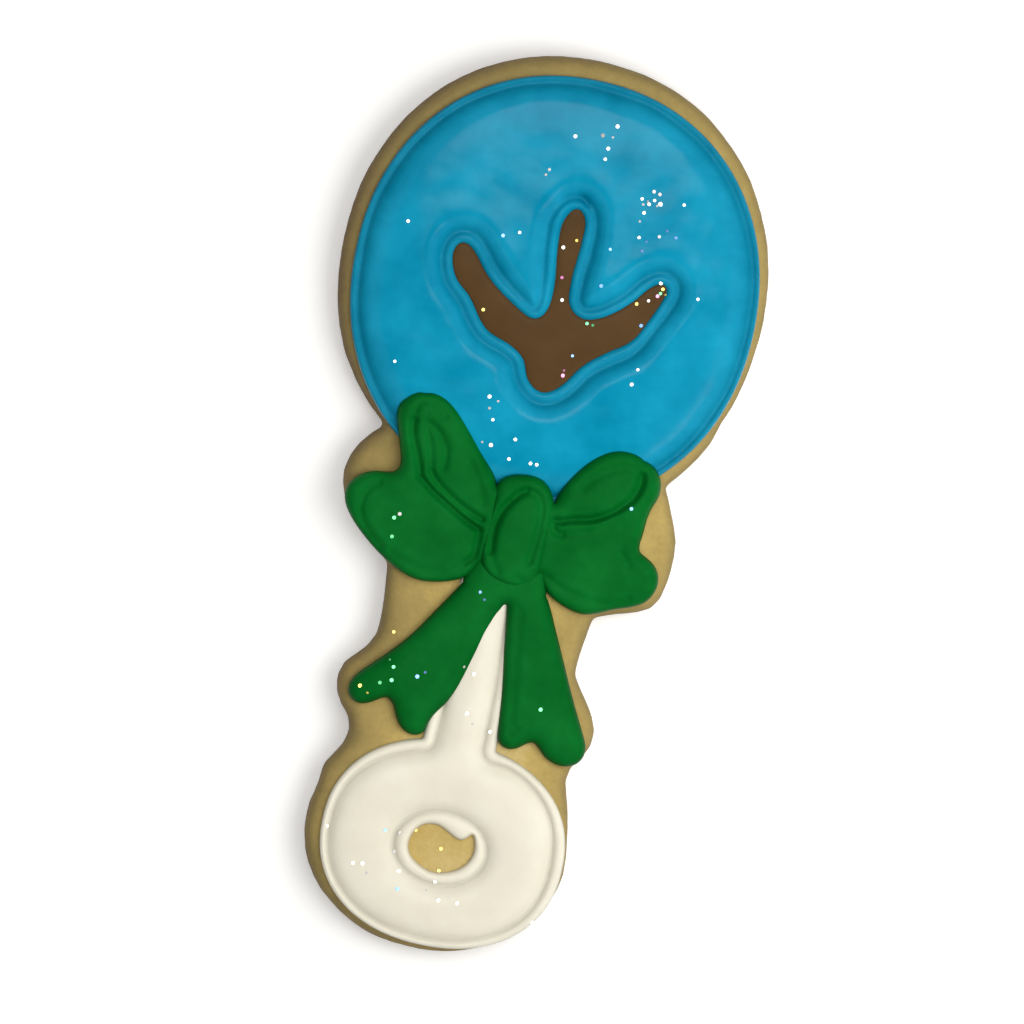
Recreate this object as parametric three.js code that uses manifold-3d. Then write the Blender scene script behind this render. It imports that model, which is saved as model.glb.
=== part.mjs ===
// An iced sugar cookie in the shape of a baby's rattle with a bow, lying on its flat baked underside.
// Millimetres, +Z up. The origin is on the underside, at the middle of the cookie's length and width;
// +Y runs along the rattle towards its round head, and the icing faces +Z.
import * as THREE from "three";
import { mergeVertices } from "three/addons/utils/BufferGeometryUtils.js";
import Module from "manifold-3d";

const wasm = await Module();
wasm.setup();

// Driving dimensions
const LENGTH = 116; // a cutter of four and a half inches, and the little that the dough spreads
const WIDTH = 54.8;
const THICKNESS = 6.5; // dough rolled to a quarter of an inch
const POOL = 1.9; // depth of the flooded blue and white icing over the biscuit
const BEAD = 1.35; // width of a piped outline
const LOOP_DEPTH = 3.0; // the bow is piped last, over the edge of the other icing
const TAIL_DEPTH = 2.7;
const KNOT_DEPTH = 3.7;
const TRACK_DEPTH = 1.0;
const GAP = 0.3; // clearance between neighbouring areas of icing

// Heights of a piped outline: the top of its wall, its rounded corner, its crest, and the groove
// between it and the flooded icing.
const PIPED = { wall: 0.45, corner: 0.9, crest: 1.05, groove: 0.8 };
const FILL = 0.85; // the share of the room inside an edge that the edge's profile may take
const STEP = { biscuit: 1.9, pool: 2, stem: 1.7, bow: 1.3, track: 1.05, hole: 0.9 };

const COLOURS = {
  biscuit: 0xb39a5c,
  blue: 0x2399bf,
  brown: 0x57402a,
  white: 0xefe9d6,
  green: 0x0b6b2b,
};

// The round head and the ring handle are a little squarer than an ellipse. The biscuit's two
// arcs run anticlockwise between angles in degrees, where its other edges take over.
const HEAD = { x: 0, y: LENGTH / 4, across: WIDTH / 2, along: LENGTH / 4, power: 2.1, from: -28, to: 206 };
const RING = { x: -0.5, y: -44, across: 16.9, along: LENGTH / 2 - 44, power: 2.05, from: 166, to: 372 };
const HEAD_POOL = { x: 0.45, y: 28, across: 25.95, along: 27.3, power: 2.12 };
const RING_POOL = { x: 0.45, y: -44, across: 15.65, along: 13.2, power: 2.2 };

// The biscuit's edge between its two round ends: down its left side, then up its right side.
// A new run starts where the cutter's edge has a corner.
const LEFT_EDGE = [
  [[-24.3, 14.9], [-22.3, 11.8], [-19.9, 9.05], [-17.5, 6.9]],
  [[-17.5, 6.9], [-19.8, 4.6], [-21.3, 1.6], [-21.3, -1.2], [-19.9, -4.5], [-17.2, -7.5], [-13.6, -10.2]],
  [[-13.6, -10.2], [-13.2, -19.4], [-16.7, -24.2], [-16.6, -28], [-14.3, -31.2], [-14.6, -34],
    [-16.4, -37], [-17.1, -39]],
];
const RIGHT_EDGE = [
  [[15.8, -39], [15.2, -36.2], [14.3, -33.3], [14.6, -31.3], [16.4, -28.8], [16.5, -25.6],
    [14.4, -21.9], [12.7, -19.4], [13.6, -12]],
  [[13.6, -12], [16.8, -10.9], [20.3, -9.6], [21.7, -7.2], [22.2, -1.4], [20.9, 2.8], [19.3, 6.3]],
  [[19.3, 6.3], [20.9, 8.1], [23.2, 11.5], [24.7, 14.6]],
];

// A bird's footprint: three toes and a heel, drawn anticlockwise from the tip of the middle toe.
const TRACK = [
  [1.2, 38.8], [-0.2, 36.8], [-0.2, 33], [0.35, 28.5], [0.1, 25], [-1.3, 23.6],
  [-4.6, 25.1], [-8.3, 27.8], [-10.8, 30.8], [-12.2, 31.7], [-13.1, 30.4], [-12.2, 27.2], [-10, 25.2],
  [-7, 21.4], [-3.8, 20.2], [-1.6, 18.7], [-0.6, 16.2], [1.4, 14.9], [3.5, 16.2], [5.6, 19.2],
  [8.4, 21.6], [11.2, 23.6], [12.8, 26.6], [14, 29.4], [14.4, 31.4], [12.9, 31],
  [10.2, 27.9], [7, 25.5], [4.4, 24.9], [2.5, 26.3], [2.1, 29.8], [2.4, 34], [2.3, 37.6],
];

// The handle's stem runs up under the knot. The hole in the ring shows bare biscuit, and has a
// sharp point at its upper right, where the piped line was closed.
const STEM = { left: -4.7, right: 4.8, taper: 0.7, top: -9.5 };
const HOLE = [
  [[4.05, -41.9], [3.3, -42.9], [2.3, -43.2], [0.6, -42.3], [-1, -41.75], [-2.9, -42.5],
    [-3.8, -44.6], [-3, -46.5], [0, -47.8], [3.2, -46.7], [4.6, -44.4], [4.05, -41.9]],
];

// The bow's areas, anticlockwise. Each loop is a leaf-shaped inside and the front of the ribbon,
// which starts as a narrow band beside the leaf and widens into the lower lobe.
const BOW = {
  bow_left_inside: {
    depth: LOOP_DEPTH,
    edge: [
      [-13.75, 11.35], [-13.3, 8.2], [-12.5, 5.3], [-11.6, 2.9], [-10.6, 1.1], [-9, -0.45],
      [-6.8, -1.75], [-4.4, -2.95], [-2.2, -3.8], [-1.95, -1.4], [-1.95, 1], [-2.35, 2.9], [-4.8, 5.8],
      [-7, 8.5], [-8.9, 10.5], [-10.5, 11.6], [-12.3, 12],
    ],
  },
  bow_left_front: {
    depth: LOOP_DEPTH,
    edge: [
      [-14.25, 11.1], [-15.7, 10.3], [-16, 8.7], [-15.3, 6.6], [-14.6, 4.3], [-14.1, 2.1],
      [-14.7, 1.05], [-17.6, 0.6], [-19.4, -0.4], [-20.4, -1.9], [-20.3, -3.4], [-19.1, -5.3],
      [-16.8, -7.5], [-13.6, -9.8], [-9.8, -11.4], [-6.8, -11.2], [-4.6, -10.5], [-3.1, -9.5],
      [-2.3, -7.9], [-2.05, -6], [-2.2, -4.2], [-4.5, -3.35], [-7, -2.1], [-9.25, -0.75], [-10.9, 0.95],
      [-11.95, 2.9], [-12.85, 5.4], [-13.7, 8.3],
    ],
  },
  bow_right_inside: {
    depth: LOOP_DEPTH,
    edge: [
      [15.9, 8.9], [14.6, 9.4], [12.9, 9.5], [11, 8.8], [9.1, 7.2], [7.6, 5.2], [6.5, 3.1], [6, 1.2],
      [6.2, -0.5], [8.3, -0.3], [10.6, 0.45], [12.7, 1.25], [14.6, 2.5], [15.8, 4.3], [16.2, 6],
      [15.9, 7.5],
    ],
  },
  bow_right_front: {
    depth: LOOP_DEPTH,
    edge: [
      [16.3, 8.75], [16.35, 7.4], [16.6, 6], [16.15, 4.1], [14.9, 2.2], [12.9, 0.9], [10.7, 0.1],
      [8.4, -0.65], [6.4, -0.95], [5.95, -3], [5.8, -5.6], [6, -7.8], [6.9, -9.4], [8.3, -10.5],
      [10, -11.2], [12.1, -11.6], [13.9, -11.1], [15.5, -10.3], [17.5, -9.6], [19.3, -8.8],
      [20.3, -7.4], [20.6, -5.8], [20, -4.3], [18.6, -3.3], [17.2, -2.6], [17.4, -0.6], [17.5, 1.6],
      [17.8, 3.2], [18.5, 4.9], [18.4, 6.6], [17.6, 7.9],
    ],
  },
  bow_left_tail: {
    depth: TAIL_DEPTH,
    edge: [
      [2.1, -10.2], [-0.6, -10], [-2.7, -9.9], [-3.5, -11.1], [-5.9, -14.8], [-8.6, -18.9],
      [-11.6, -22.3], [-14, -24.7], [-15.1, -26.3], [-14.8, -27.8], [-13.6, -28.4], [-12.2, -28],
      [-11, -27.1], [-10.2, -26.7], [-9.4, -27.1], [-8.8, -28.2], [-8.1, -29.7], [-7.1, -30.7],
      [-5.9, -31], [-4.9, -30.6], [-4.7, -29.3], [-3.8, -27.6], [-2.2, -25.1], [-1, -22], [-0.2, -19.3],
      [0.7, -15.9], [1.5, -13.4], [2.15, -11.9],
    ],
  },
  bow_right_tail: {
    depth: TAIL_DEPTH,
    edge: [
      [6.3, -9.9], [4.4, -10.2], [2.6, -10.2], [2.6, -12], [2.95, -14.2], [3.5, -18.5], [4.2, -23.2],
      [4.7, -27.8], [5, -29.8], [6.2, -30.4], [7.5, -29.9], [8.4, -29], [9.1, -28.6], [9.9, -29.1],
      [11, -30.3], [12.5, -31], [14.2, -31], [15.4, -30.2], [15.8, -28.7], [14.6, -26.1], [13, -23],
      [11, -18.8], [9, -14.6], [7.6, -11.7],
    ],
  },
  bow_knot: {
    depth: KNOT_DEPTH,
    edge: [
      [2.6, 3.9], [1, 3.75], [-0.6, 3.3], [-1.5, 2.4], [-1.6, 0.8], [-1.6, -2], [-1.7, -5.2],
      [-1.7, -7.4], [-0.6, -8.9], [1.4, -9.6], [3.4, -9.6], [4.8, -8.9], [5.4, -7], [5.45, -4],
      [5.6, -1], [5.5, 0.8], [4.9, 2.4], [3.9, 3.5],
    ],
  },
};

const points = (list) => list.map(([x, y]) => new THREE.Vector2(x, y));

// Evenly spaced points round a smooth closed outline.
function closedOutline(list, step) {
  const curve = new THREE.CatmullRomCurve3(
    list.map(([x, y]) => new THREE.Vector3(x, y, 0)),
    true,
    "centripetal",
  );
  const count = Math.round(curve.getLength() / step);
  return curve.getSpacedPoints(count).slice(0, -1).map((p) => new THREE.Vector2(p.x, p.y));
}

// Points along runs that are each smooth and meet at corners. The last point of all is left out.
function runsOutline(runs, step) {
  return runs.flatMap((run) => {
    const curve = new THREE.SplineCurve(points(run));
    return curve.getSpacedPoints(Math.round(curve.getLength() / step)).slice(0, -1);
  });
}

// Points on a superellipse, anticlockwise, all round it or between two angles in degrees.
function roundOutline({ x, y, across, along, power, from = 0, to = 360 }, step) {
  const count = Math.round((((to - from) * Math.PI) / 180) * ((across + along) / 2 / step));
  return Array.from({ length: count }, (_, i) => {
    const angle = THREE.MathUtils.degToRad(from + ((to - from) * i) / count);
    const c = Math.cos(angle);
    const s = Math.sin(angle);
    const reach = (Math.abs(c / across) ** power + Math.abs(s / along) ** power) ** (-1 / power);
    return new THREE.Vector2(x + reach * c, y + reach * s);
  });
}

// Each point of an outline, with the direction into the material.
function inwards(outline) {
  return outline.map((p, i) => {
    const before = outline.at(i - 1);
    const after = outline[(i + 1) % outline.length];
    return { p, normal: new THREE.Vector2(before.y - after.y, after.x - before.x).normalize() };
  });
}

// The outline moved into the material, or out of it where the distance is negative.
function movedOutline(outline, distance) {
  return inwards(outline).map(({ p, normal }) => p.clone().addScaledVector(normal, distance));
}

// How far one may go inwards from each point before another edge of the same area is as near. The
// edges are looked at in quarters, past a point's own neighbours. Along an edge the room then grows
// by no more than half of the way gone, so that it changes gently.
function roomInside(stations, outlines) {
  const quarters = [0, 0.25, 0.5, 0.75];
  const edges = outlines.flatMap((outline) =>
    outline.flatMap((p, i) => quarters.map((t) => p.clone().lerp(outline[(i + 1) % outline.length], t))),
  );
  const rooms = stations.map(({ p, normal }, i) => {
    const own = 0.99 * p.distanceTo(stations.at(i - 1).p);
    let room = Infinity;
    for (const q of edges) {
      const towards = q.clone().sub(p);
      const ahead = towards.dot(normal);
      if (ahead > 0 && towards.length() > own) room = Math.min(room, towards.lengthSq() / (2 * ahead));
    }
    return room;
  });
  const count = rooms.length;
  const easedBy = (i, j) => Math.min(rooms[i], rooms[j] + stations[i].p.distanceTo(stations[j].p) / 2);
  for (let n = 0; n < 2 * count; n++) {
    const up = n % count;
    const down = count - 1 - up;
    rooms[up] = easedBy(up, (up + count - 1) % count);
    rooms[down] = easedBy(down, (down + 1) % count);
  }
  return rooms;
}

// The height of a profile of [inset, height] rows at an inset.
function heightAt(profile, inset) {
  const next = profile.findIndex(([t]) => t > inset);
  if (next < 0) return profile.at(-1)[1];
  const [t0, h0] = profile[next - 1];
  const [t1, h1] = profile[next];
  return h0 + ((h1 - h0) * (inset - t0)) / (t1 - t0);
}

// A solid that stands on a flat base and has, all round its edge, the same profile of
// [inset, height] rows. In narrow places the insets shrink, so the profile never folds over.
class PouredGeometry extends THREE.BufferGeometry {
  constructor(edges) {
    super();
    const vertices = [];
    const indices = [];
    const outlines = edges.map((edge) => edge.outline);
    const first = [];
    const last = [];
    for (const { outline, profile } of edges) {
      const stations = inwards(outline);
      const rooms = roomInside(stations, outlines);
      const widest = profile.at(-1)[0];
      const count = outline.length;
      profile.forEach(([inset, height], row) => {
        const start = vertices.length / 3;
        if (row === 0) first.push(start);
        if (row === profile.length - 1) last.push(start);
        stations.forEach(({ p, normal }, i) => {
          const moved = inset * Math.min(1, (FILL * rooms[i]) / widest);
          const z = row === 0 || moved === inset ? height : heightAt(profile.slice(1), moved);
          vertices.push(p.x + normal.x * moved, p.y + normal.y * moved, z);
        });
        if (row === 0) return;
        for (let i = 0; i < count; i++) {
          const j = (i + 1) % count;
          const [a, b, c, d] = [start - count + i, start - count + j, start + j, start + i];
          indices.push(a, b, c, a, c, d);
        }
      });
    }
    const cap = (starts, flip) => {
      const rings = edges.map(({ outline }, k) =>
        outline.map((_, i) => {
          const v = 3 * (starts[k] + i);
          return new THREE.Vector2(vertices[v], vertices[v + 1]);
        }),
      );
      const names = edges.flatMap(({ outline }, k) => outline.map((_, i) => starts[k] + i));
      for (const [a, b, c] of THREE.ShapeUtils.triangulateShape(rings[0], rings.slice(1)))
        indices.push(...(flip ? [names[a], names[c], names[b]] : [names[a], names[b], names[c]]));
    };
    cap(first, true);
    cap(last, false);
    this.setAttribute("position", new THREE.Float32BufferAttribute(vertices, 3));
    this.setIndex(indices);
  }
}

// The edge of an icing area: a wall, the piped bead, the groove behind it, and the shoulder of the
// pool that was flooded inside. Lift raises all of it, for icing piped over other icing.
function pipedEdge(depth, lift = 0) {
  const groove = lift + PIPED.groove;
  return [
    [0, 0],
    [0, lift + PIPED.wall],
    [0.2 * BEAD, lift + PIPED.corner],
    [0.55 * BEAD, lift + PIPED.crest],
    [BEAD, groove],
    [1.6 * BEAD, groove + 0.65 * (depth - groove)],
    [3 * BEAD, depth],
  ];
}

function solidOf(geometry) {
  const bare = new THREE.BufferGeometry()
    .setAttribute("position", geometry.getAttribute("position"))
    .setIndex(geometry.index);
  const merged = mergeVertices(bare, 1e-4);
  const mesh = new wasm.Mesh({
    numProp: 3,
    vertProperties: merged.attributes.position.array,
    triVerts: new Uint32Array(merged.index.array),
  });
  return new wasm.Manifold(mesh);
}

function geometryOf(solid) {
  const mesh = solid.getMesh();
  return new THREE.BufferGeometry()
    .setAttribute("position", new THREE.BufferAttribute(mesh.vertProperties, 3))
    .setIndex(new THREE.BufferAttribute(mesh.triVerts, 1));
}

// An upright block over an outline, widened by a clearance, to cut its neighbours with.
function cutter(outline, clearance) {
  const wide = new THREE.Shape(movedOutline(outline, -clearance));
  const block = new THREE.ExtrudeGeometry(wide, { depth: 3 * LOOP_DEPTH, bevelEnabled: false });
  return solidOf(block.translate(0, 0, -LOOP_DEPTH));
}

// The largest of the bodies that a cut leaves: loose scraps are dropped.
function largest(solid) {
  return solid.decompose().reduce((most, body) => (body.volume() > most.volume() ? body : most));
}

const group = new THREE.Group();
group.name = "iced_rattle_cookie";

function add(name, geometry, colour, roughness, height) {
  const material = new THREE.MeshStandardMaterial({ color: colour, roughness, metalness: 0 });
  const mesh = new THREE.Mesh(geometry, material);
  mesh.name = name;
  mesh.position.z = height;
  group.add(mesh);
}

// The biscuit: a flat underside, a wall that bellies a little, and a soft shoulder.
const biscuitEdge = [
  ...roundOutline(HEAD, STEP.biscuit),
  ...runsOutline(LEFT_EDGE, STEP.biscuit),
  ...roundOutline(RING, STEP.biscuit),
  ...runsOutline(RIGHT_EDGE, STEP.biscuit),
];
const biscuitProfile = [
  [0.5, 0],
  [0, 0.9],
  [0, 4.2],
  [0.35, 5.5],
  [0.9, 6.2],
  [1.7, THICKNESS],
];
const biscuit = new PouredGeometry([{ outline: biscuitEdge, profile: biscuitProfile }]);

// Icing of the head, with the footprint set in it.
const trackEdge = closedOutline(TRACK, STEP.track);
const headPool = new PouredGeometry([
  { outline: roundOutline(HEAD_POOL, STEP.pool), profile: pipedEdge(POOL) },
  { outline: movedOutline(trackEdge, -GAP / 2).reverse(), profile: pipedEdge(POOL) },
]);
const trackProfile = [
  [0, 0],
  [0, 0.65],
  [0.3, 0.9],
  [0.9, TRACK_DEPTH],
];
const trackPool = new PouredGeometry([{ outline: movedOutline(trackEdge, GAP / 2), profile: trackProfile }]);

// Icing of the ring and its stem, which takes the place of the top of the ring's outline.
const ringPart = roundOutline(RING_POOL, STEP.stem).filter(
  (p) => p.y < RING_POOL.y || p.x < STEM.left - GAP || p.x > STEM.right + GAP,
);
const gapAt = ringPart.findIndex((p) => p.x < STEM.left && p.y > RING_POOL.y);
const shoulder = RING_POOL.y + RING_POOL.along - GAP;
const stemPart = runsOutline(
  [
    [[STEM.right, shoulder], [STEM.right - STEM.taper, STEM.top]],
    [[STEM.right - STEM.taper, STEM.top], [STEM.left + STEM.taper, STEM.top]],
    [[STEM.left + STEM.taper, STEM.top], [STEM.left, shoulder]],
    [[STEM.left, shoulder], [ringPart[gapAt].x, ringPart[gapAt].y]],
  ],
  STEP.stem,
);
const handlePool = new PouredGeometry([
  { outline: [...ringPart.slice(0, gapAt), ...stemPart, ...ringPart.slice(gapAt)], profile: pipedEdge(POOL) },
  { outline: runsOutline(HOLE, STEP.hole).reverse(), profile: pipedEdge(POOL) },
]);

// The bow's areas, kept clear of each other: the knot is piped last and cuts into the rest.
const bow = Object.entries(BOW).map(([name, { depth, edge }]) => {
  const outline = closedOutline(edge, STEP.bow);
  const profile = pipedEdge(depth, depth - POOL + GAP);
  return { name, solid: solidOf(new PouredGeometry([{ outline, profile }])), block: cutter(outline, GAP) };
});
bow.forEach((area, i) => {
  for (const over of bow.slice(i + 1)) area.solid = area.solid.subtract(over.block);
});
const underBow = bow.map(({ block }) => block).reduce((sum, block) => sum.add(block));

const besideBow = (pool) => geometryOf(largest(solidOf(pool).subtract(underBow)));

add("biscuit", biscuit, COLOURS.biscuit, 0.85, 0);
add("head_icing", besideBow(headPool), COLOURS.blue, 0.3, THICKNESS);
add("track_icing", trackPool, COLOURS.brown, 0.35, THICKNESS);
add("handle_icing", besideBow(handlePool), COLOURS.white, 0.3, THICKNESS);
for (const { name, solid } of bow) add(name, geometryOf(largest(solid)), COLOURS.green, 0.4, THICKNESS);

export default group;
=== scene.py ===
# %% [markdown]
# # An iced sugar cookie in the shape of a baby's rattle
# A baker cuts the dough with a rattle cutter, bakes it, and ices it in stages: blue and white icing are
# piped as outlines and flooded, a brown bird's footprint fills a gap left in the blue, and a green bow is
# piped last over the edges of both. A pinch of edible glitter finishes it. This lesson makes each of those
# stages.
#
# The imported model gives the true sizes. Every piece below stays in its frame, in metres, with +Y towards
# the head of the rattle and +Z up out of the icing.

# %% Load the frame
import math
import random

import bmesh
import bpy
import numpy as np
from mathutils import Matrix, Vector, noise
from mathutils.bvhtree import BVHTree
from mathutils.kdtree import KDTree


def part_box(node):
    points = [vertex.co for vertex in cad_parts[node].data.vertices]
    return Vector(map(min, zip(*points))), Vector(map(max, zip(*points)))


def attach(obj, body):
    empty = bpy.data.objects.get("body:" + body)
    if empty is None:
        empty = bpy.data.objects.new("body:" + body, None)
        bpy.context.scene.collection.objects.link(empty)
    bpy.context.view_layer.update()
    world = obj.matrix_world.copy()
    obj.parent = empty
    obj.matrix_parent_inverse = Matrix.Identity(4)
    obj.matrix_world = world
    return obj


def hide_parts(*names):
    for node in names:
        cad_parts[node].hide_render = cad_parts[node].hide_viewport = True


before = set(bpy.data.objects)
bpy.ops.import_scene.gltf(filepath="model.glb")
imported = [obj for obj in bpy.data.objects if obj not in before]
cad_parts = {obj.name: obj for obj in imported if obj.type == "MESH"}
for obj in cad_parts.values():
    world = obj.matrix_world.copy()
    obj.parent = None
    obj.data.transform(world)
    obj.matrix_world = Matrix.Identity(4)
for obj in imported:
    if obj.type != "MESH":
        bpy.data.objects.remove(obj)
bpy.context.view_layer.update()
MM = 0.001
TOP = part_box("biscuit")[1].z
print("biscuit top at", round(TOP / MM, 2), "mm")

# %% [markdown]
# ## The camera
# The photograph was taken from straight above, with the cookie lying askew: the head leans to the right by
# about eleven and a half degrees. So the camera looks down and is rolled by that angle. It comes first
# because the glitter is tilted to catch the light that it sees.

# %% Camera
LEAN = math.radians(11.507)
LENS = 200
SENSOR = 36
NEAREST_SEEN = 10 * MM
VIEW_WIDTH = 130.56 * MM
AIM = Vector((0.728 * MM, -0.819 * MM, TOP))

camera_data = bpy.data.cameras.new("camera")
camera_data.lens = LENS
camera_data.sensor_width = SENSOR
camera_data.clip_start = NEAREST_SEEN
camera = bpy.data.objects.new("camera", camera_data)
camera.location = AIM + Vector((0, 0, VIEW_WIDTH * LENS / SENSOR))
camera.rotation_euler = (0, 0, LEAN)
bpy.context.scene.collection.objects.link(camera)
bpy.context.scene.camera = camera
print("camera", round(camera.location.z, 3), "m above the floor")

# %% [markdown]
# ## Light and floor
# The photograph's shading tells where its light was: above the right side of the cookie and quite near,
# since the left side is dimmer, and the grooves of the head shade towards its top while those of the ring
# shade towards its bottom. So one broad round lamp hangs there, as close as that. Glossy icing would mirror
# it as hard white streaks, so the lamp is kept out of reflections.
#
# The world does the mirroring. It is a soft glow overhead that fades to a dim horizon, and it is dark
# straight above, where the camera hangs, which keeps the colours deep. Two small patches are brighter: one
# beyond the head gives the blue icing its sheen, and one to the right is what the glitter glints with. Light
# from below is stopped by the floor here, and serves those who turn the cookie over.

# %% Lamp
ACROSS = Vector((math.cos(LEAN), math.sin(LEAN), 0))
UPWARD = Vector((-math.sin(LEAN), math.cos(LEAN), 0))
UP = Vector((0, 0, 1))
WARM_WHITE = (1, 0.985, 0.95)
LAMP_PLACE = Vector((90 * MM, 0, 160 * MM + TOP))
LAMP_WIDTH = 140 * MM
LAMP_POWER = 0.2

lamp_data = bpy.data.lights.new("lamp", "AREA")
lamp_data.shape = "DISK"
lamp_data.size = LAMP_WIDTH
lamp_data.energy = LAMP_POWER
lamp_data.color = WARM_WHITE
lamp = bpy.data.objects.new("lamp", lamp_data)
lamp.location = LAMP_PLACE
lamp.rotation_euler = (LAMP_PLACE - TOP * UP).to_track_quat("Z", "Y").to_euler()
lamp.visible_glossy = False
bpy.context.scene.collection.objects.link(lamp)
print("lamp", round((LAMP_PLACE - TOP * UP).length / MM), "mm from the cookie")

# %% [markdown]
# Each part of the world's light lies round one direction. Its reach is the cosine of the angle where it
# starts and of the one where it is full.

# %% Directions of the world's light


def cosine(degrees):
    """The cosine of an angle, which is 1 where two directions are the same."""
    return math.cos(math.radians(degrees))


GLOW_SIDE = (0.2 * ACROSS - 0.05 * UPWARD + 0.98 * UP).normalized()
GLOW_REACH = (0.30, 0.85)
BRIGHTEST = 0.72
DIMMEST = 0.16
DARK_REACH = (cosine(20), cosine(9))
DARK_SHARE = 0.10
SHEEN_TILT = math.radians(14.5)
SHEEN_SIDE = (math.sin(SHEEN_TILT) * (UPWARD + 0.12 * ACROSS) + math.cos(SHEEN_TILT) * UP).normalized()
SHEEN_REACH = (cosine(12.5), cosine(6.5))
SHEEN = 4.2
GLINT_SIDE = (0.34 * ACROSS - 0.28 * UPWARD + 0.90 * UP).normalized()
GLINT_REACH = (cosine(9), cosine(6))
GLINT = 2.0
BELOW_REACH = (0.02, 0.5)
BELOW = 0.7
print("the glitter's light comes from", round(math.degrees(UP.angle(GLINT_SIDE))), "degrees off straight up")

# %% World
world = bpy.data.worlds.new("studio")
world.use_nodes = True
sky = world.node_tree
bpy.context.scene.world = world
bpy.context.scene.view_settings.view_transform = "Standard"


def towards(direction, reach, low, high):
    """A value that goes from low to high as the view into the world turns to a direction."""
    place = sky.nodes.new("ShaderNodeTexCoord")
    nearness = sky.nodes.new("ShaderNodeVectorMath")
    nearness.operation = "DOT_PRODUCT"
    nearness.inputs[1].default_value = direction
    sky.links.new(place.outputs["Generated"], nearness.inputs[0])
    turn = sky.nodes.new("ShaderNodeMapRange")
    turn.interpolation_type = "SMOOTHSTEP"
    for name, value in zip(("From Min", "From Max", "To Min", "To Max"), (*reach, low, high)):
        turn.inputs[name].default_value = value
    sky.links.new(nearness.outputs["Value"], turn.inputs["Value"])
    return turn.outputs["Result"]


def joined(operation, one, other):
    """Two values of the world put together by a sum or a product."""
    made = sky.nodes.new("ShaderNodeMath")
    made.operation = operation
    sky.links.new(one, made.inputs[0])
    sky.links.new(other, made.inputs[1])
    return made.outputs["Value"]


around = towards(GLOW_SIDE, GLOW_REACH, DIMMEST, BRIGHTEST)
light = joined("MULTIPLY", around, towards(UP, DARK_REACH, 1, DARK_SHARE))
light = joined("ADD", light, towards(-UP, BELOW_REACH, 0, BELOW))
light = joined("ADD", light, towards(SHEEN_SIDE, SHEEN_REACH, 0, SHEEN))
light = joined("ADD", light, towards(GLINT_SIDE, GLINT_REACH, 0, GLINT))
sky.links.new(light, sky.nodes["Background"].inputs["Strength"])
sky.nodes["Background"].inputs["Color"].default_value = (*WARM_WHITE, 1)
print("the world is made of", len(sky.nodes), "nodes")

# %% [markdown]
# The floor is a plain white sheet, far larger than the picture. Its finish comes with the others below.

# %% Floor
FLOOR_REACH = 1.5


def object_of(name, bm):
    """A mesh object at the origin, made from a bmesh, with soft shading."""
    mesh = bpy.data.meshes.new(name)
    bm.to_mesh(mesh)
    bm.free()
    mesh.shade_smooth()
    made = bpy.data.objects.new(name, mesh)
    bpy.context.scene.collection.objects.link(made)
    return made


floor_bm = bmesh.new()
bmesh.ops.create_grid(floor_bm, x_segments=1, y_segments=1, size=FLOOR_REACH)
floor = object_of("floor", floor_bm)
print("the floor reaches", max(vert.co.x for vert in floor.data.vertices), "m each way")

# %% [markdown]
# ## Outlines
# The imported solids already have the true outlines. A level plane through a solid's wall leaves just the loop
# of edges where it cuts, which gives an outline without drawing it again. Facets are then softened by
# averaging each point with its neighbours, as the surface of wet icing does.

# %% Helpers for sections
WELD = 0.001 * MM


def loops_of(bm):
    """The closed loops of loose edges in a bmesh, longest first, as rows of x and y.

    The points wait in a dict, which keeps their order, so every run starts each loop at the same point.
    """
    left = dict.fromkeys(bm.verts)
    loops = []
    while left:
        vert = next(iter(left))
        loop = []
        while vert:
            left.pop(vert)
            loop.append(vert.co[:2])
            ahead = [edge.other_vert(vert) for edge in vert.link_edges]
            vert = next((other for other in ahead if other in left), None)
        loops.append(np.array(loop))
    return sorted(loops, key=len, reverse=True)


def cut_level(bm, height, keep_above):
    """Cuts a bmesh with a level plane. What is left is the part above, or else the cut's edges alone."""
    everything = bm.verts[:] + bm.edges[:] + bm.faces[:]
    bmesh.ops.bisect_plane(
        bm,
        geom=everything,
        plane_co=(0, 0, height),
        plane_no=(0, 0, 1),
        clear_inner=True,
        clear_outer=not keep_above,
    )


def section(mesh, height):
    """The loops where a level plane cuts a mesh."""
    bm = bmesh.new()
    bm.from_mesh(mesh)
    bmesh.ops.remove_doubles(bm, verts=bm.verts, dist=WELD)
    cut_level(bm, height, keep_above=False)
    loops = loops_of(bm)
    bm.free()
    return loops


# %% Helpers for outlines
STEP = 0.25 * MM
TRACK_CUT = 0.3 * MM


def eased(loop, passes=6):
    """A loop with a point at every step and softened corners."""
    closed = np.vstack([loop, loop[:1]])
    along = np.append(0, np.cumsum(np.linalg.norm(np.diff(closed, axis=0), axis=1)))
    at = np.linspace(0, along[-1], round(along[-1] / STEP), endpoint=False)
    points = np.column_stack([np.interp(at, along, closed[:, k]) for k in (0, 1)])
    for _ in range(passes):
        points = (np.roll(points, 1, axis=0) + 2 * points + np.roll(points, -1, axis=0)) / 4
    return points


def grown(loop, by):
    """A loop moved outwards, or inwards where by is negative."""
    ahead = np.roll(loop, -1, axis=0) - np.roll(loop, 1, axis=0)
    side = np.column_stack([ahead[:, 1], -ahead[:, 0]]) / np.linalg.norm(ahead, axis=1)[:, None]
    turning = np.sum(loop[:, 0] * np.roll(loop[:, 1], -1) - loop[:, 1] * np.roll(loop[:, 0], -1))
    return loop + side * math.copysign(by, turning)


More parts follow.
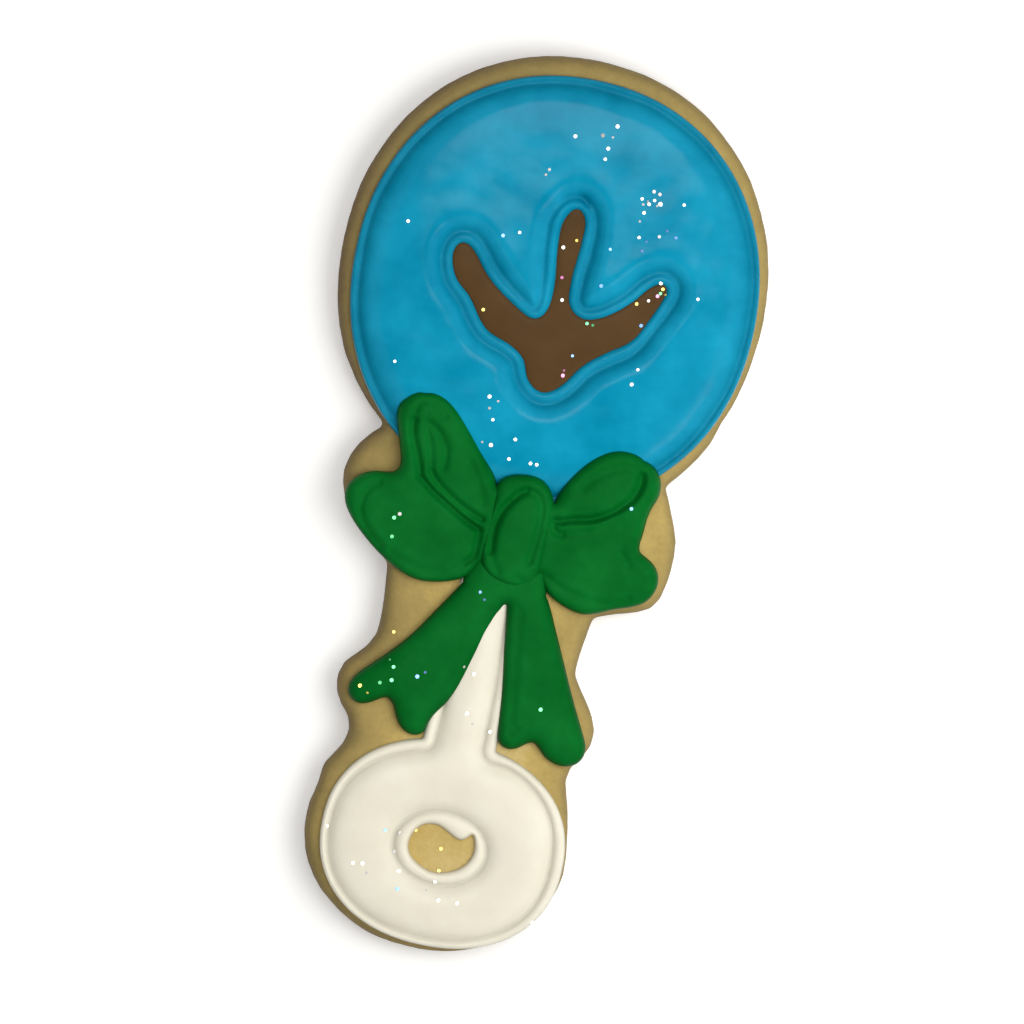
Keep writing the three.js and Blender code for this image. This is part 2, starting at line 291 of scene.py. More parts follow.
def line_through(points):
    """Close points on a smooth line through a few points in millimetres."""
    p = np.array(points) * MM
    padded = np.vstack([2 * p[0] - p[1], p, 2 * p[-1] - p[-2]])
    parts = []
    for a, b, c, d in zip(padded, padded[1:], padded[2:], padded[3:]):
        for t in np.linspace(0, 1, max(2, round(np.linalg.norm(c - b) / STEP)), endpoint=False):
            bend = 2 * a - 5 * b + 4 * c - d
            twist = 3 * b - a - 3 * c + d
            parts.append(0.5 * (2 * b + (c - a) * t + bend * t**2 + twist * t**3))
    return np.array(parts + [p[-1]])


def packed_outline(node, height, which=0, passes=6):
    """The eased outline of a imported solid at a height, or that of a hole where which isn't 0."""
    return eased(section(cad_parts[node].data, height)[which], passes)


track_loop = packed_outline("track_icing", TOP + TRACK_CUT)
print("the footprint's outline has", len(track_loop), "points")

# %% [markdown]
# ## Slabs that become icing
# Icing lies in a pool with steep sides. Each pool starts as an upright slab over its outline. A voxel remesh
# turns it into even squares and fuses what overlaps, so that a formula can then lift every point of the top
# to the height it should have. A mesh of even squares has no facets of its own to show through the gloss.

# %% Helpers for slabs
SLAB_FOOT = TOP - 0.45 * MM
SLAB_TOP = TOP + 1.0 * MM


def add_slab(bm, loops):
    """Adds an upright slab over the first loop, with holes at the others."""
    edges = []
    for loop in loops:
        verts = [bm.verts.new((x, y, SLAB_FOOT)) for x, y in loop]
        edges += [bm.edges.new(pair) for pair in zip(verts, verts[1:] + verts[:1])]
    filled = bmesh.ops.triangle_fill(bm, edges=edges, use_beauty=True)
    faces = [part for part in filled["geom"] if isinstance(part, bmesh.types.BMFace)]
    raised = bmesh.ops.extrude_face_region(bm, geom=faces, use_keep_orig=True)
    tops = [part for part in raised["geom"] if isinstance(part, bmesh.types.BMVert)]
    bmesh.ops.translate(bm, verts=tops, vec=(0, 0, SLAB_TOP - SLAB_FOOT))


def remeshed(name, bm, voxel):
    """An object of even squares, with all that overlaps in the bmesh fused."""
    bmesh.ops.recalc_face_normals(bm, faces=bm.faces)
    made = object_of(name, bm)
    fuse = made.modifiers.new("even squares", "REMESH")
    fuse.mode = "VOXEL"
    fuse.voxel_size = voxel
    graph = bpy.context.evaluated_depsgraph_get()
    mesh = bpy.data.meshes.new_from_object(made.evaluated_get(graph))
    made.modifiers.clear()
    made.data = mesh
    return made


# %% Helpers for the shape of icing
BASE_CUT = 0.2 * MM
NOISE_STRETCH = 1.6


def tree_of(points):
    """A search tree that tells how far a place is from the nearest of some points."""
    tree = KDTree(len(points))
    for i, (x, y) in enumerate(points):
        tree.insert((x, y, 0), i)
    tree.balance()
    return lambda x, y: tree.find((x, y, 0))[2]


def within(value):
    """A value kept between 0 and 1."""
    return min(1, max(0, value))


def soften(bm, verts, passes, upright=True):
    """Draws points towards their neighbours a few times, in x and y alone where upright is off."""
    for _ in range(passes):
        bmesh.ops.smooth_vert(
            bm, verts=verts, factor=0.5, use_axis_x=True, use_axis_y=True, use_axis_z=upright
        )


def shape_icing(made, height, smoothing=3):
    """Lifts a slab's points to the height at their place, smooths them and cuts the hidden base flat.

    The height is a function of x, y and the distance to each edge of the slab, the longest edge first.
    """
    edges = [tree_of(loop) for loop in section(made.data, (SLAB_FOOT + SLAB_TOP) / 2)]
    bm = bmesh.new()
    bm.from_mesh(made.data)
    for vert in bm.verts:
        x, y, z = vert.co
        share = within((z - SLAB_FOOT) / (SLAB_TOP - SLAB_FOOT))
        gaps = [near(x, y) for near in edges]
        vert.co.z = SLAB_FOOT + share * (TOP + height(x, y, *gaps) - SLAB_FOOT)
    soften(bm, bm.verts, smoothing)
    cut_level(bm, SLAB_FOOT + BASE_CUT, keep_above=True)
    bmesh.ops.holes_fill(bm, edges=[e for e in bm.edges if e.is_boundary], sides=0)
    bm.to_mesh(made.data)
    bm.free()
    made.data.shade_smooth()
    print(made.name, len(edges), "edges,", len(made.data.polygons), "faces")


def ripple(x, y, by, size, seed):
    """Soft unevenness of about an amount either way, with bumps of a size in millimetres."""
    place = Vector((x / (size * MM), y / (size * MM), seed))
    return by * (NOISE_STRETCH * noise.noise(place))


# %% [markdown]
# ## Finishes
# Dried royal icing is satin: a soft highlight, slightly uneven colour, and a faintly rippled skin. All four
# colours share one recipe. The noise reads object coordinates, which match the frame, so nothing slides.
# Where icing lies low, at its edges, in its grooves and in the bow's creases, its colour is darkened as
# painted shade.

# %% Helpers for materials


def linear(channel):
    """One channel of a screen colour in Blender's linear light, by the curve that screens are made to."""
    share = channel / 255
    return ((share + 0.055) / 1.055) ** 2.4 if channel > 10 else share / 12.92


def colour(red, green, blue):
    """A colour given as it looks on a screen, with each channel from 0 to 255."""
    return (linear(red), linear(green), linear(blue), 1)


def material(name, roughness):
    """A new material and its main shader."""
    made = bpy.data.materials.new(name)
    made.use_nodes = True
    shader = made.node_tree.nodes["Principled BSDF"]
    shader.inputs["Roughness"].default_value = roughness
    return made, shader


def noise_of(tree, size, detail=2.0, roughness=0.5):
    """A noise texture on object coordinates, with the size of its cells in millimetres."""
    place = tree.nodes.new("ShaderNodeTexCoord")
    cells = tree.nodes.new("ShaderNodeTexNoise")
    cells.inputs["Scale"].default_value = 1 / (size * MM)
    cells.inputs["Detail"].default_value = detail
    cells.inputs["Roughness"].default_value = roughness
    tree.links.new(place.outputs["Object"], cells.inputs["Vector"])
    return cells.outputs["Fac"]


def ramp(tree, value, stops):
    """A colour ramp of (place, colour) stops, fed by a value."""
    made = tree.nodes.new("ShaderNodeValToRGB")
    elements = made.color_ramp.elements
    elements[0].position, elements[0].color = stops[0]
    elements[1].position, elements[1].color = stops[-1]
    for place, tint in stops[1:-1]:
        elements.new(place).color = tint
    tree.links.new(value, made.inputs["Fac"])
    return made.outputs["Color"]


def bump(tree, shader, value, strength, depth):
    """Feeds a value to a shader as fine relief of a depth in millimetres."""
    made = tree.nodes.new("ShaderNodeBump")
    made.inputs["Strength"].default_value = strength
    made.inputs["Distance"].default_value = depth * MM
    tree.links.new(value, made.inputs["Height"])
    tree.links.new(made.outputs["Normal"], shader.inputs["Normal"])


# %% Finish of icing
DEEP_AT = 0.32
PALE_AT = 0.68
LIGHT_SINKS_IN = 0.8 * MM


def painted_groove_shade(tree, thin, full, darkest):
    """Painted shade: a factor that rises from its darkest to 1 between two heights above the biscuit, in mm.
    """
    place = tree.nodes.new("ShaderNodeTexCoord")
    height = tree.nodes.new("ShaderNodeVectorMath")
    height.operation = "DOT_PRODUCT"
    height.inputs[1].default_value = UP / MM
    tree.links.new(place.outputs["Object"], height.inputs[0])
    rise = tree.nodes.new("ShaderNodeMapRange")
    rise.interpolation_type = "SMOOTHSTEP"
    rise.inputs["From Min"].default_value = TOP / MM + thin
    rise.inputs["From Max"].default_value = TOP / MM + full
    rise.inputs["To Min"].default_value = darkest
    tree.links.new(height.outputs["Value"], rise.inputs["Value"])
    return rise.outputs["Result"]


def icing_finish(name, deep, pale, roughness, shine, glow, thin, full, darkest):
    """Dried icing, which drifts between a deep and a pale shade, with painted shade where it lies low."""
    made, shader = material(name, roughness)
    tree = made.node_tree
    drift = noise_of(tree, size=7, detail=5, roughness=0.6)
    shade = ramp(tree, drift, [(DEEP_AT, colour(*deep)), (PALE_AT, colour(*pale))])
    # Painted shade: the colour is scaled down where the icing lies low, in grooves, creases and at its edges.
    painted_shading = tree.nodes.new("ShaderNodeVectorMath")
    painted_shading.operation = "SCALE"
    tree.links.new(shade, painted_shading.inputs[0])
    tree.links.new(painted_groove_shade(tree, thin, full, darkest), painted_shading.inputs["Scale"])
    tree.links.new(painted_shading.outputs["Vector"], shader.inputs["Base Color"])
    shader.inputs["Subsurface Weight"].default_value = glow
    shader.inputs["Subsurface Radius"].default_value = (1, 1, 1)
    shader.inputs["Subsurface Scale"].default_value = LIGHT_SINKS_IN
    shader.inputs["Specular IOR Level"].default_value = shine
    bump(tree, shader, noise_of(tree, size=1.1, detail=3), strength=0.25, depth=0.05)
    return made


def dress(made, finish, slot, *nodes):
    """Gives a piece its finish and its place in the frame."""
    made.data.materials.clear()
    made.data.materials.append(finish)
    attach(made, "root")
    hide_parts(*nodes)
    return made


# %% [markdown]
# The floor's finish is a matt white that is faintly lit from within, like a light table.

# %% Floor finish
FLOOR_WHITE = 0.92
FLOOR_GLOW = 0.28

floor_finish, floor_shader = material("floor", roughness=0.9)
floor_shader.inputs["Base Color"].default_value = (FLOOR_WHITE, FLOOR_WHITE, FLOOR_WHITE, 1)
floor_shader.inputs["Emission Color"].default_value = (1, 1, 1, 1)
floor_shader.inputs["Emission Strength"].default_value = FLOOR_GLOW
floor.data.materials.append(floor_finish)
print("floor finish", floor_finish.name)

# %% [markdown]
# ## The biscuit
# Rolled dough bakes with a soft upper edge, slightly wavy sides and a fine crumb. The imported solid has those
# main forms. Remeshed and smoothed it loses its facets, and small bumps of several sizes make it baked. Its
# underside stays flat, as it was baked on a tray, and the edge round the foot is smoothed once more.

# %% Biscuit shape
BISCUIT_VOXEL = 0.36 * MM
FOOT_HEIGHT = 0.7 * MM
BUMPS_FROM = 0.8 * MM
WAVES = (5 * MM, 0.09 * MM)
CRUMB = (1.2 * MM, 0.05 * MM)
BUMPS_SINK = 0.02 * MM


def bumps(place, size, depth):
    """How far bumps of a size and a depth lift the dough at a place."""
    return noise.noise(place / size) * depth


biscuit_bm = bmesh.new()
biscuit_bm.from_mesh(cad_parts["biscuit"].data)
bmesh.ops.remove_doubles(biscuit_bm, verts=biscuit_bm.verts, dist=WELD)
biscuit = remeshed("biscuit_baked", biscuit_bm, BISCUIT_VOXEL)

crumb_bm = bmesh.new()
crumb_bm.from_mesh(biscuit.data)
soften(crumb_bm, crumb_bm.verts, 5)
foot = [vert for vert in crumb_bm.verts if vert.co.z < FOOT_HEIGHT]
soften(crumb_bm, foot, 8, upright=False)
crumb_bm.normal_update()
for vert in crumb_bm.verts:
    rise = within(vert.co.z / BUMPS_FROM)
    lift = bumps(vert.co, *WAVES) + bumps(vert.co, *CRUMB) - BUMPS_SINK
    vert.co += vert.normal * lift * rise
crumb_bm.to_mesh(biscuit.data)
crumb_bm.free()
biscuit.data.shade_smooth()
print(biscuit.name, len(biscuit.data.polygons), "faces")

# %% [markdown]
# ### Baked colour
# Sugar dough stays pale gold in the middle and browns towards its edge, and most of all down its side and
# underneath. The colour also shifts across the cookie, with painted shade on its left side and a little on
# its top, away from the lamp on the right. So each point gets a value, from brown to pale, from its distance
# to the outline, its height and its side, and the value is kept with the mesh. A noise makes it wander, and a
# finer one gives the crumb its speckle.

# %% Paleness and painted side shade of the dough
# The shaded side and its spread set painted shade: the dough is drawn darker away from the lamp.
SHADED_SIDE = 0.3 * UPWARD - 0.9 * ACROSS
SIDE_SHADE_SPREAD = 130 * MM
EDGE_BAND = 1.6 * MM
MIDDLE_BAND = 7 * MM
AT_OUTLINE = 0.38
EDGE_GAIN = 0.14
MIDDLE_GAIN = 0.36
UNDERSIDE_LOSS = 0.40


def paleness_and_side_shade(place, from_outline):
    """How pale the dough is at a place, from 0, brown, to 1, with painted shade towards its left side."""
    edge = min(1, from_outline / EDGE_BAND)
    middle = min(1, from_outline / MIDDLE_BAND)
    below = 1 - within(place.z / TOP)
    # Painted shade: darker towards the shaded side.
    side_shade = place.dot(SHADED_SIDE) / SIDE_SHADE_SPREAD
    by_place = AT_OUTLINE + EDGE_GAIN * edge * (2 - edge) + MIDDLE_GAIN * middle
    return by_place - UNDERSIDE_LOSS * below - side_shade


outline_tree = tree_of(eased(section(biscuit.data, 0.5 * TOP)[0]))
pale = [paleness_and_side_shade(vert.co, outline_tree(vert.co.x, vert.co.y)) for vert in biscuit.data.vertices]
biscuit.data.attributes.new("paleness_and_side_shade", "FLOAT", "POINT").data.foreach_set("value", pale)
print("paleness from", round(min(pale), 2), "to", round(max(pale), 2))

# %% Biscuit finish
BAKED = [
    (0.0, (102, 76, 46)),
    (0.25, (131, 113, 75)),
    (0.45, (146, 128, 79)),
    (0.7, (172, 150, 91)),
    (0.88, (194, 169, 102)),
    (1.0, (206, 185, 128)),
]
WANDER = 0.3
SPECKLE = 0.3


def shifted(tree, value, change, weight):
    """A value, with a weighted change added."""
    made = tree.nodes.new("ShaderNodeMath")
    made.operation = "MULTIPLY_ADD"
    made.inputs[1].default_value = weight
    tree.links.new(change, made.inputs[0])
    tree.links.new(value, made.inputs[2])
    return made.outputs["Value"]


biscuit_finish, shader = material("baked_dough", roughness=0.8)
tree = biscuit_finish.node_tree
baked = tree.nodes.new("ShaderNodeAttribute")
baked.attribute_name = "paleness_and_side_shade"
patchy = shifted(tree, baked.outputs["Fac"], noise_of(tree, size=4, detail=4), WANDER)
speckled = shifted(tree, patchy, noise_of(tree, size=0.8, detail=6, roughness=0.7), SPECKLE)
centred = tree.nodes.new("ShaderNodeMath")
centred.operation = "SUBTRACT"
centred.inputs[1].default_value = (WANDER + SPECKLE) / 2
tree.links.new(speckled, centred.inputs[0])
dough = ramp(tree, centred.outputs["Value"], [(at, colour(*tint)) for at, tint in BAKED])
tree.links.new(dough, shader.inputs["Base Color"])
shader.inputs["Specular IOR Level"].default_value = 0.2
bump(tree, shader, noise_of(tree, size=0.5, detail=6, roughness=0.7), strength=0.5, depth=0.12)
dress(biscuit, biscuit_finish, "biscuit", "biscuit")
print(biscuit_finish.name, "has", len(BAKED), "shades")

# %% [markdown]
# ## Piped and flooded icing
# A baker pipes a line of stiff icing round an area, then floods the inside with runny icing. The line stays
# a rounded bead, and the pool swells up inside it, which leaves a soft groove between the two. So two
# distances give the height of a point: the one to the edge of the icing, and the one to the edge of the
# pool, which is counted below nothing on the line. A wandering line width keeps it from looking machine made.

# %% Height of flooded icing
GROOVE = 0.2 * MM
BEAD_POWER = 0.6


def bell(distance, width):
    """A bell curve, which is 1 at no distance and next to nothing past twice the width."""
    return math.exp(-((distance / width) ** 2))


def piped_line(to_edge, to_pool, crest, floor=GROOVE):
    """The height on the bead, which rises and falls from the edge of the icing to that of the pool."""
    share = to_edge / (to_edge - to_pool)
    return floor + crest * (4 * share * (1 - share)) ** BEAD_POWER


def pool_side(to_pool, depth, swell, floor=GROOVE):
    """The height in the pool, which rises from the groove and flattens out ever more slowly."""
    return floor + (depth - floor) * (1 - math.exp(-max(0, to_pool) / swell))


def lower_of(one, other, blend=0.12 * MM):
    """The lower of two heights, with a soft change from one to the other."""
    return (one + other - math.hypot(one - other, blend)) / 2


# %% [markdown]
# ### Blue head
# The blue pool is nearly round. It starts as a circle whose points are pushed out to a slightly squarer
# curve, and the footprint is left open in it, with a piped line of its own. The pool is domed a little
# towards the middle, as flooded icing is, with a low ridge round the footprint. Where the line round the
# middle toe wasn't quite closed, a small pit is left. To the left of that toe the pool ran over its line, so
# the groove fades out there.

# %% Sizes of the blue icing
BLUE_VOXEL = 0.17 * MM
BLUE_CENTRE = Vector((0.45, 28.0)) * MM
BLUE_REACH = Vector((25.95, 27.3)) * MM
BLUE_POWER = 2.12
BLUE_POINTS = 640
BLUE_LINE = 0.8 * MM
BLUE_CREST = 0.72 * MM
BLUE_DEPTH = 1.8 * MM
BLUE_DOME = 0.4 * MM
BLUE_SWELL = 1.25 * MM
TRACK_MARGIN = 0.15 * MM
TRACK_LINE = 1.55 * MM
TRACK_CREST = 0.7 * MM
TRACK_GROOVE = 0.5 * MM
TRACK_SWELL = 0.85 * MM
TRACK_RIDGE = 0.15 * MM
RIDGE_PLACE = 2.3 * MM
RIDGE_WIDTH = 1.3 * MM
PIT = line_through([(1.3, 40.3), (1.9, 39.9), (2.3, 39.4)])
PIT_DEPTH = 0.55 * MM
PIT_WIDTH = 0.3 * MM
RUN_OVER = line_through([(-1.2, 38.2), (-1.2, 34), (-0.9, 30), (-2.0, 27.6)])
RUN_OVER_RISE = 0.75 * MM
RUN_OVER_WIDTH = 1.9 * MM
print("the blue icing is", round(2 * BLUE_REACH.x / MM, 1), "mm wide")

# %% Blue icing


def superellipse(centre, reach, power, count):
    """Points on a curve between an ellipse and a box."""
    angles = np.linspace(0, 2 * math.pi, count, endpoint=False)
    c, s = np.cos(angles), np.sin(angles)
    r = (np.abs(c / reach.x) ** power + np.abs(s / reach.y) ** power) ** (-1 / power)
    return np.column_stack([centre.x + r * c, centre.y + r * s])


def blue_height(x, y, from_rim, from_track):
    """The height of the blue icing at a place and at its distances to the rim and the footprint."""
    waver = 1 + ripple(x, y, by=0.15, size=7, seed=3.1)
    in_from_rim = from_rim - BLUE_LINE * waver
    in_from_track = from_track - TRACK_LINE * waver
    pit = PIT_DEPTH * bell(near_pit(x, y), PIT_WIDTH)
    groove = TRACK_GROOVE + RUN_OVER_RISE * bell(near_run_over(x, y), RUN_OVER_WIDTH)
    if min(in_from_rim, in_from_track) < 0:
        uneven = 1 + ripple(x, y, by=0.08, size=4, seed=8.3)
        if from_rim < from_track:
            return piped_line(from_rim, in_from_rim, BLUE_CREST * uneven)
        return piped_line(from_track, in_from_track, TRACK_CREST * uneven, groove) - pit
    offset = Vector((x, y)) - BLUE_CENTRE
    dome = BLUE_DOME * (1 - (offset.x / BLUE_REACH.x) ** 2 - (offset.y / BLUE_REACH.y) ** 2)
    drift = ripple(x, y, by=0.08 * MM, size=9, seed=0.4) + ripple(x, y, by=0.025 * MM, size=3, seed=7.7)
    full = BLUE_DEPTH + dome + drift
    rolling = RIDGE_WIDTH * (1 + ripple(x, y, by=0.4, size=6, seed=9.1))
    ridge = TRACK_RIDGE * bell(in_from_track - RIDGE_PLACE, rolling)
    by_rim = pool_side(in_from_rim, full, BLUE_SWELL)
    by_track = pool_side(in_from_track, full + ridge, TRACK_SWELL, groove)
    return lower_of(by_rim, by_track) - pit


near_pit = tree_of(PIT)
near_run_over = tree_of(RUN_OVER)
blue_bm = bmesh.new()
blue_edge = superellipse(BLUE_CENTRE, BLUE_REACH, BLUE_POWER, BLUE_POINTS)
add_slab(blue_bm, [blue_edge, grown(track_loop, TRACK_MARGIN)])
blue = remeshed("head_icing_poured", blue_bm, BLUE_VOXEL)
shape_icing(blue, blue_height, smoothing=7)
blue_finish = icing_finish(
    "blue_icing",
    deep=(0, 136, 173),
    pale=(20, 158, 196),
    roughness=0.13,
    shine=0.12,
    glow=0.08,
    thin=0.6,
    full=1.75,
    darkest=0.76,
)
dress(blue, blue_finish, "blue_icing", "head_icing")

# %% [markdown]
# ### Brown footprint
# The brown icing was dropped into the gap and filled it up to the bead around it, so its edges touch the
# blue and it is nearly flat.

# %% Brown icing
BROWN_VOXEL = 0.15 * MM
BROWN_SPREAD = 0.35 * MM
BROWN_WALL = 0.78 * MM
BROWN_TOP = 0.98 * MM
BROWN_SHOULDER = 1.2 * MM


def pillow(from_edge, wall, top, shoulder):
    """A height that starts at a wall and rounds up to a flat top over the width of its shoulder."""
    inside = min(1, from_edge / shoulder)
    return wall + (top - wall) * math.sqrt(inside * (2 - inside))


def brown_height(x, y, from_edge):
    """The height of the brown icing at a place and at its distance to the edge."""
    level = pillow(from_edge, BROWN_WALL, BROWN_TOP, BROWN_SHOULDER)
    return level + ripple(x, y, by=0.03 * MM, size=4, seed=2.2)


brown_bm = bmesh.new()
add_slab(brown_bm, [grown(track_loop, BROWN_SPREAD)])
brown = remeshed("track_icing_poured", brown_bm, BROWN_VOXEL)
shape_icing(brown, brown_height)
brown_finish = icing_finish(
    "brown_icing",
    deep=(80, 57, 29),
    pale=(90, 65, 34),
    roughness=0.34,
    shine=0.12,
    glow=0.03,
    thin=0.2,
    full=0.6,
    darkest=0.8,
)
dress(brown, brown_finish, "brown_icing", "track_icing")

# %% [markdown]
# ### White ring and stem
# One pool makes the ring and the stem that runs up under the knot. The two slabs overlap, and the remesh
# fuses them. The hole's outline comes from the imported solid. The piped line is thin, and thicker where the
# baker went slowly: at the upper left of the ring, beside the stem and down the right side. Inside, the line
# is fat round the hole, up to an oval.

# %% Sizes of the white icing
WHITE_VOXEL = 0.14 * MM
RING_CENTRE = Vector((0.45, -44.0)) * MM
RING_REACH = Vector((15.65, 13.2)) * MM
RING_POWER = 2.2
RING_POINTS = 360
STEM_LEFT = [(-2, -36), (-4.72, -31.4), (-4.3, -20), (-3.9, -9), (-3.4, -4)]
STEM_RIGHT = [(3.8, -4), (4.3, -9), (4.8, -24), (4.8, -32), (2, -36)]
HOLE_CUT = 0.2 * MM
OVAL_CENTRE = Vector((0.25, -44.65)) * MM
OVAL_REACH = Vector((5.9, 4.6)) * MM
OVAL_SWELL = 0.95 * MM
WHITE_LINE = 0.8 * MM
WHITE_CREST = 0.8 * MM
WHITE_DEPTH = 1.7 * MM
WHITE_SWELL = 1.05 * MM
print("the ring is", round(2 * RING_REACH.x / MM, 1), "mm wide")

# %% [markdown]
# Each thicker stretch of the piped line has a middle and a spread, in degrees round the ring from its right
# side, and the millimetres that it adds to the line's width.

# %% White icing
THICKER = [(115, 42, 0.8), (76, 12, 0.4), (0, 55, 0.75)]


def white_height(x, y, from_rim, from_hole):
    """The height of the white icing at a place and at its distances to the rim and the hole."""
    offset = Vector((x, y)) - RING_CENTRE
    bearing = math.degrees(math.atan2(offset.y, offset.x))
    width = WHITE_LINE * (1 + ripple(x, y, by=0.08, size=5, seed=6.2))
    for middle, spread, extra in THICKER:
        turn = (bearing - middle + 180) % 360 - 180
        width += extra * MM * bell(turn, spread)
    in_from_rim = from_rim - width
    across = Vector((x, y)) - OVAL_CENTRE
    in_from_oval = (math.hypot(across.x / OVAL_REACH.x, across.y / OVAL_REACH.y) - 1) * OVAL_REACH.y
    inside = min(in_from_rim, in_from_oval)
    if inside < 0:
        crest = WHITE_CREST * (1 + ripple(x, y, by=0.08, size=4, seed=1.3))
        return piped_line(min(from_rim, from_hole), inside, crest)
    full = WHITE_DEPTH
    full += ripple(x, y, by=0.06 * MM, size=7, seed=4.4)
    full += ripple(x, y, by=0.02 * MM, size=2.5, seed=1.9)
    return lower_of(pool_side(in_from_rim, full, WHITE_SWELL), pool_side(in_from_oval, full, OVAL_SWELL))


hole_loop = packed_outline("handle_icing", TOP + HOLE_CUT, which=1, passes=2)
white_bm = bmesh.new()
add_slab(white_bm, [superellipse(RING_CENTRE, RING_REACH, RING_POWER, RING_POINTS), hole_loop])
add_slab(white_bm, [eased(np.array(STEM_LEFT + STEM_RIGHT) * MM, 3)])
white = remeshed("handle_icing_poured", white_bm, WHITE_VOXEL)
shape_icing(white, white_height, smoothing=5)
white_finish = icing_finish(
    "white_icing",
    deep=(230, 225, 208),
    pale=(238, 234, 219),
    roughness=0.26,
    shine=0.3,
    glow=0.12,
    thin=0.2,
    full=0.88,
    darkest=0.69,
)
dress(white, white_finish, "white_icing", "handle_icing")

# %% [markdown]
# ## The bow
# The bow was piped freehand with stiff icing, in thick strokes that sink into each other. So its parts are
# fat pillows, and folds and the edges of strokes are creases pressed into them, or rolls raised from them.
# Each line is a few points, a depth and a width in millimetres, and its profile is a bell curve, which has
# soft shoulders like icing. The depths and widths were judged, and two scales then make all the lines a
# little deeper and wider together.

# %% Helpers for the bow
BOW_VOXEL = 0.13 * MM
BOW_CUT = 0.5 * MM
ALL_DEEPER = 1.15
ALL_WIDER = 1.2
# The green takes the strongest painted shade, darkest low on its strokes and in its creases.
GREEN_FINISH = icing_finish(
    "green_icing",
    deep=(0, 95, 30),
    pale=(9, 113, 42),
    roughness=0.45,
    shine=0.05,
    glow=0.05,
    thin=0.7,
    full=2.4,
    darkest=0.58,
)


def pressed(lines):
    """A function of place for the deepest crease there, less the highest roll.

    Each line has points, a depth, which is below 0 for a roll, and a width.
    """
    felt = []
    for points, depth, width in lines:
        felt.append((tree_of(line_through(points)), ALL_DEEPER * depth * MM, ALL_WIDER * width * MM))

    def press(x, y):
        depths = [depth * bell(near(x, y), width) for near, depth, width in felt]
        return max(0, *depths) + min(0, *depths)

    return press


def bow_part(name, nodes, wall, top, shoulder, lines, under=(), gap=0.25):
    """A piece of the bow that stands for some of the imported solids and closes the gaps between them.

    Its outline also takes in the areas under, which run on below a stroke that was piped later or fill out
    a tip. The lengths are in millimetres.
    """
    bm = bmesh.new()
    for node in nodes:
        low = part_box(node)[0].z
        add_slab(bm, [grown(packed_outline(node, low + BOW_CUT), gap * MM)])
    for area in under:
        add_slab(bm, [eased(np.array(area) * MM, 4)])
    made = remeshed(name, bm, BOW_VOXEL)
    press = pressed(lines)

    def height(x, y, *from_edges):
        uneven = 1 + ripple(x, y, by=0.04, size=5, seed=5.5) + ripple(x, y, by=0.012, size=1.8, seed=2.9)
        return pillow(min(from_edges), wall * MM, top(x, y) * MM * uneven, shoulder * MM) - press(x, y)

    shape_icing(made, height)
    return dress(made, GREEN_FINISH, "green_icing", *nodes)


# %% Tops of the bow's strokes
CLIMB_START = -8
CLIMB_LENGTH = 10


def over_pool(low, high):
    """The top of a stroke that climbs from bare biscuit onto the blue icing as y grows."""
    return lambda x, y: low + (high - low) * within((y / MM - CLIMB_START) / CLIMB_LENGTH)


def level(height):
    """The top of a stroke that is the same all along."""
    return lambda x, y: height


# %% [markdown]
# ### Loops
# Each loop is a ribbon seen half open: a leaf-shaped inside, and the front of the ribbon, which folds over
# along the leaf's outer edge and widens below. The fold is the deepest line, with a roll of icing beside it.
# Besides its solids, each loop takes in a strip that runs on below the knot and the tip of its fold.

# %% Left loop
LEFT_LINES = [
    ([(-13.8, 8.2), (-13.8, 7.3), (-13.4, 5.9), (-12.7, 4.3), (-12.05, 2.7), (-11.65, 1.3)], 0.62, 0.42),
    ([(-11.65, 1.3), (-10.6, 0.45), (-9.6, -0.3), (-7.6, -1.45), (-5.3, -2.8), (-2.9, -3.9)], 0.85, 0.36),
    ([(-11.9, 8.1), (-11.7, 7.1), (-11.1, 5.5), (-10.65, 3.8), (-10.4, 2.3)], 0.30, 0.36),
    ([(-10.4, 2.3), (-9.7, 1.35), (-8.75, 0.55), (-6.5, -0.9), (-4.2, -2.0), (-2.9, -2.5)], 0.60, 0.36),
    (
        [(-11.9, 8.1), (-11.2, 7.8), (-10.5, 7.25), (-9.6, 6.3), (-9.0, 5.2), (-8.9, 4.0), (-8.9, 3.0)],
        0.35,
        0.40,
    ),
    ([(-9.9, 9.5), (-11.2, 10.5), (-12.5, 10.8), (-13.5, 10.3), (-13.9, 9.2)], 0.28, 0.36),
    ([(-11.6, 9.2), (-10.4, 8.5), (-9.2, 7.6), (-8.0, 6.3)], -0.14, 0.5),
    ([(-16.6, -0.5), (-17.6, -1.4), (-18.2, -2.7), (-18.2, -4.5), (-17.0, -6.4), (-14.8, -8.4)], 0.36, 0.42),
    ([(-13.2, -9.0), (-10, -10.1), (-7.2, -10.2), (-5.1, -9.3), (-3.9, -8.4)], 0.25, 0.5),
    ([(-3.9, -8.35), (-3.0, -7.4), (-2.85, -6.2), (-2.8, -5), (-2.9, -3.9)], 0.55, 0.4),
    ([(-5.6, 4.2), (-4.2, 2), (-3.2, -0.4)], 0.28, 0.6),
]
LEFT_UNDER = [
    [(-3.6, 2.2), (-0.6, 2.2), (-0.6, -8.2), (-3.4, -8.2)],
    [(-15.9, 8.6), (-15.8, 10.3), (-15.0, 11.3), (-13.9, 12.0), (-12.6, 12.0), (-12.6, 9.4), (-14, 7.8)],
]
left_loop = bow_part(
    "bow_loop_left",
    ["bow_left_inside", "bow_left_front"],
    wall=1.1,
    top=over_pool(2.35, 2.95),
    shoulder=1.7,
    lines=LEFT_LINES,
    under=LEFT_UNDER,
)

